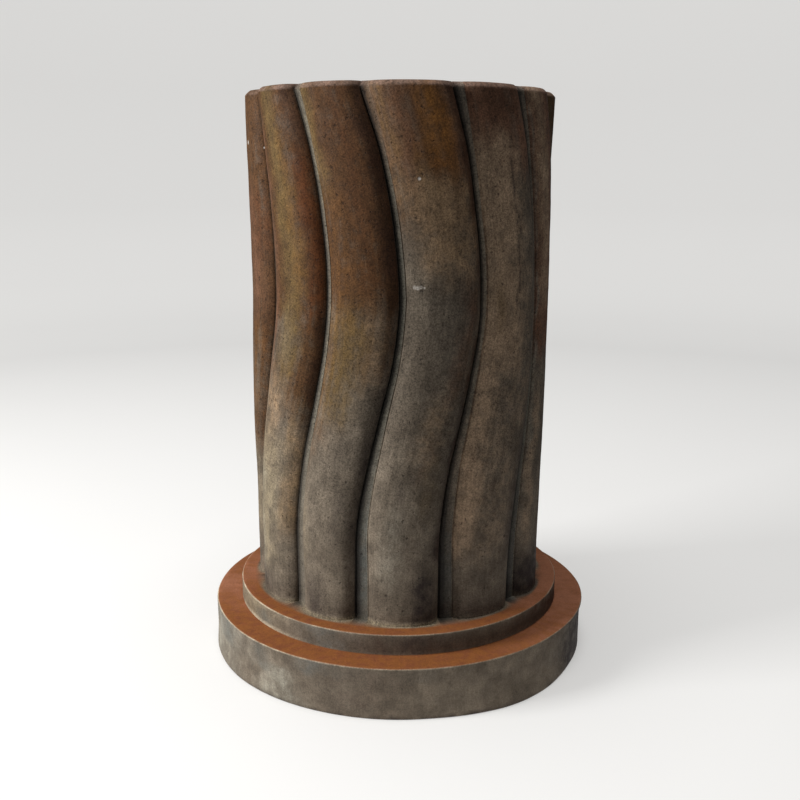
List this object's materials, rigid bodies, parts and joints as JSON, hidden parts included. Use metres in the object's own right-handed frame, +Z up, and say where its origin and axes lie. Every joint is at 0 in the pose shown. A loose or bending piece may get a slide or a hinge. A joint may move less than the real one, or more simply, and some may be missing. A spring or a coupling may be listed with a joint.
{
  "type": "cast stone plinth",
  "caption": "Round cast stone plinth: a drum of wavy upright reeds on a stepped circular base, flat on top to carry a pot, statue or bowl.",
  "frame": {"origin": "centre of the underside of the base", "axes": "+Z up the plinth's axis, -Y towards the side that shows in the picture"},
  "size_m": [0.5, 0.4999, 0.72],
  "materials": {
    "cast_stone": "fair-faced cast stone, stained brown and weathered grey, with terracotta-coloured step tops"
  },
  "bodies": {
    "root": {"plinth": "cast_stone"}
  },
  "joints": []
}
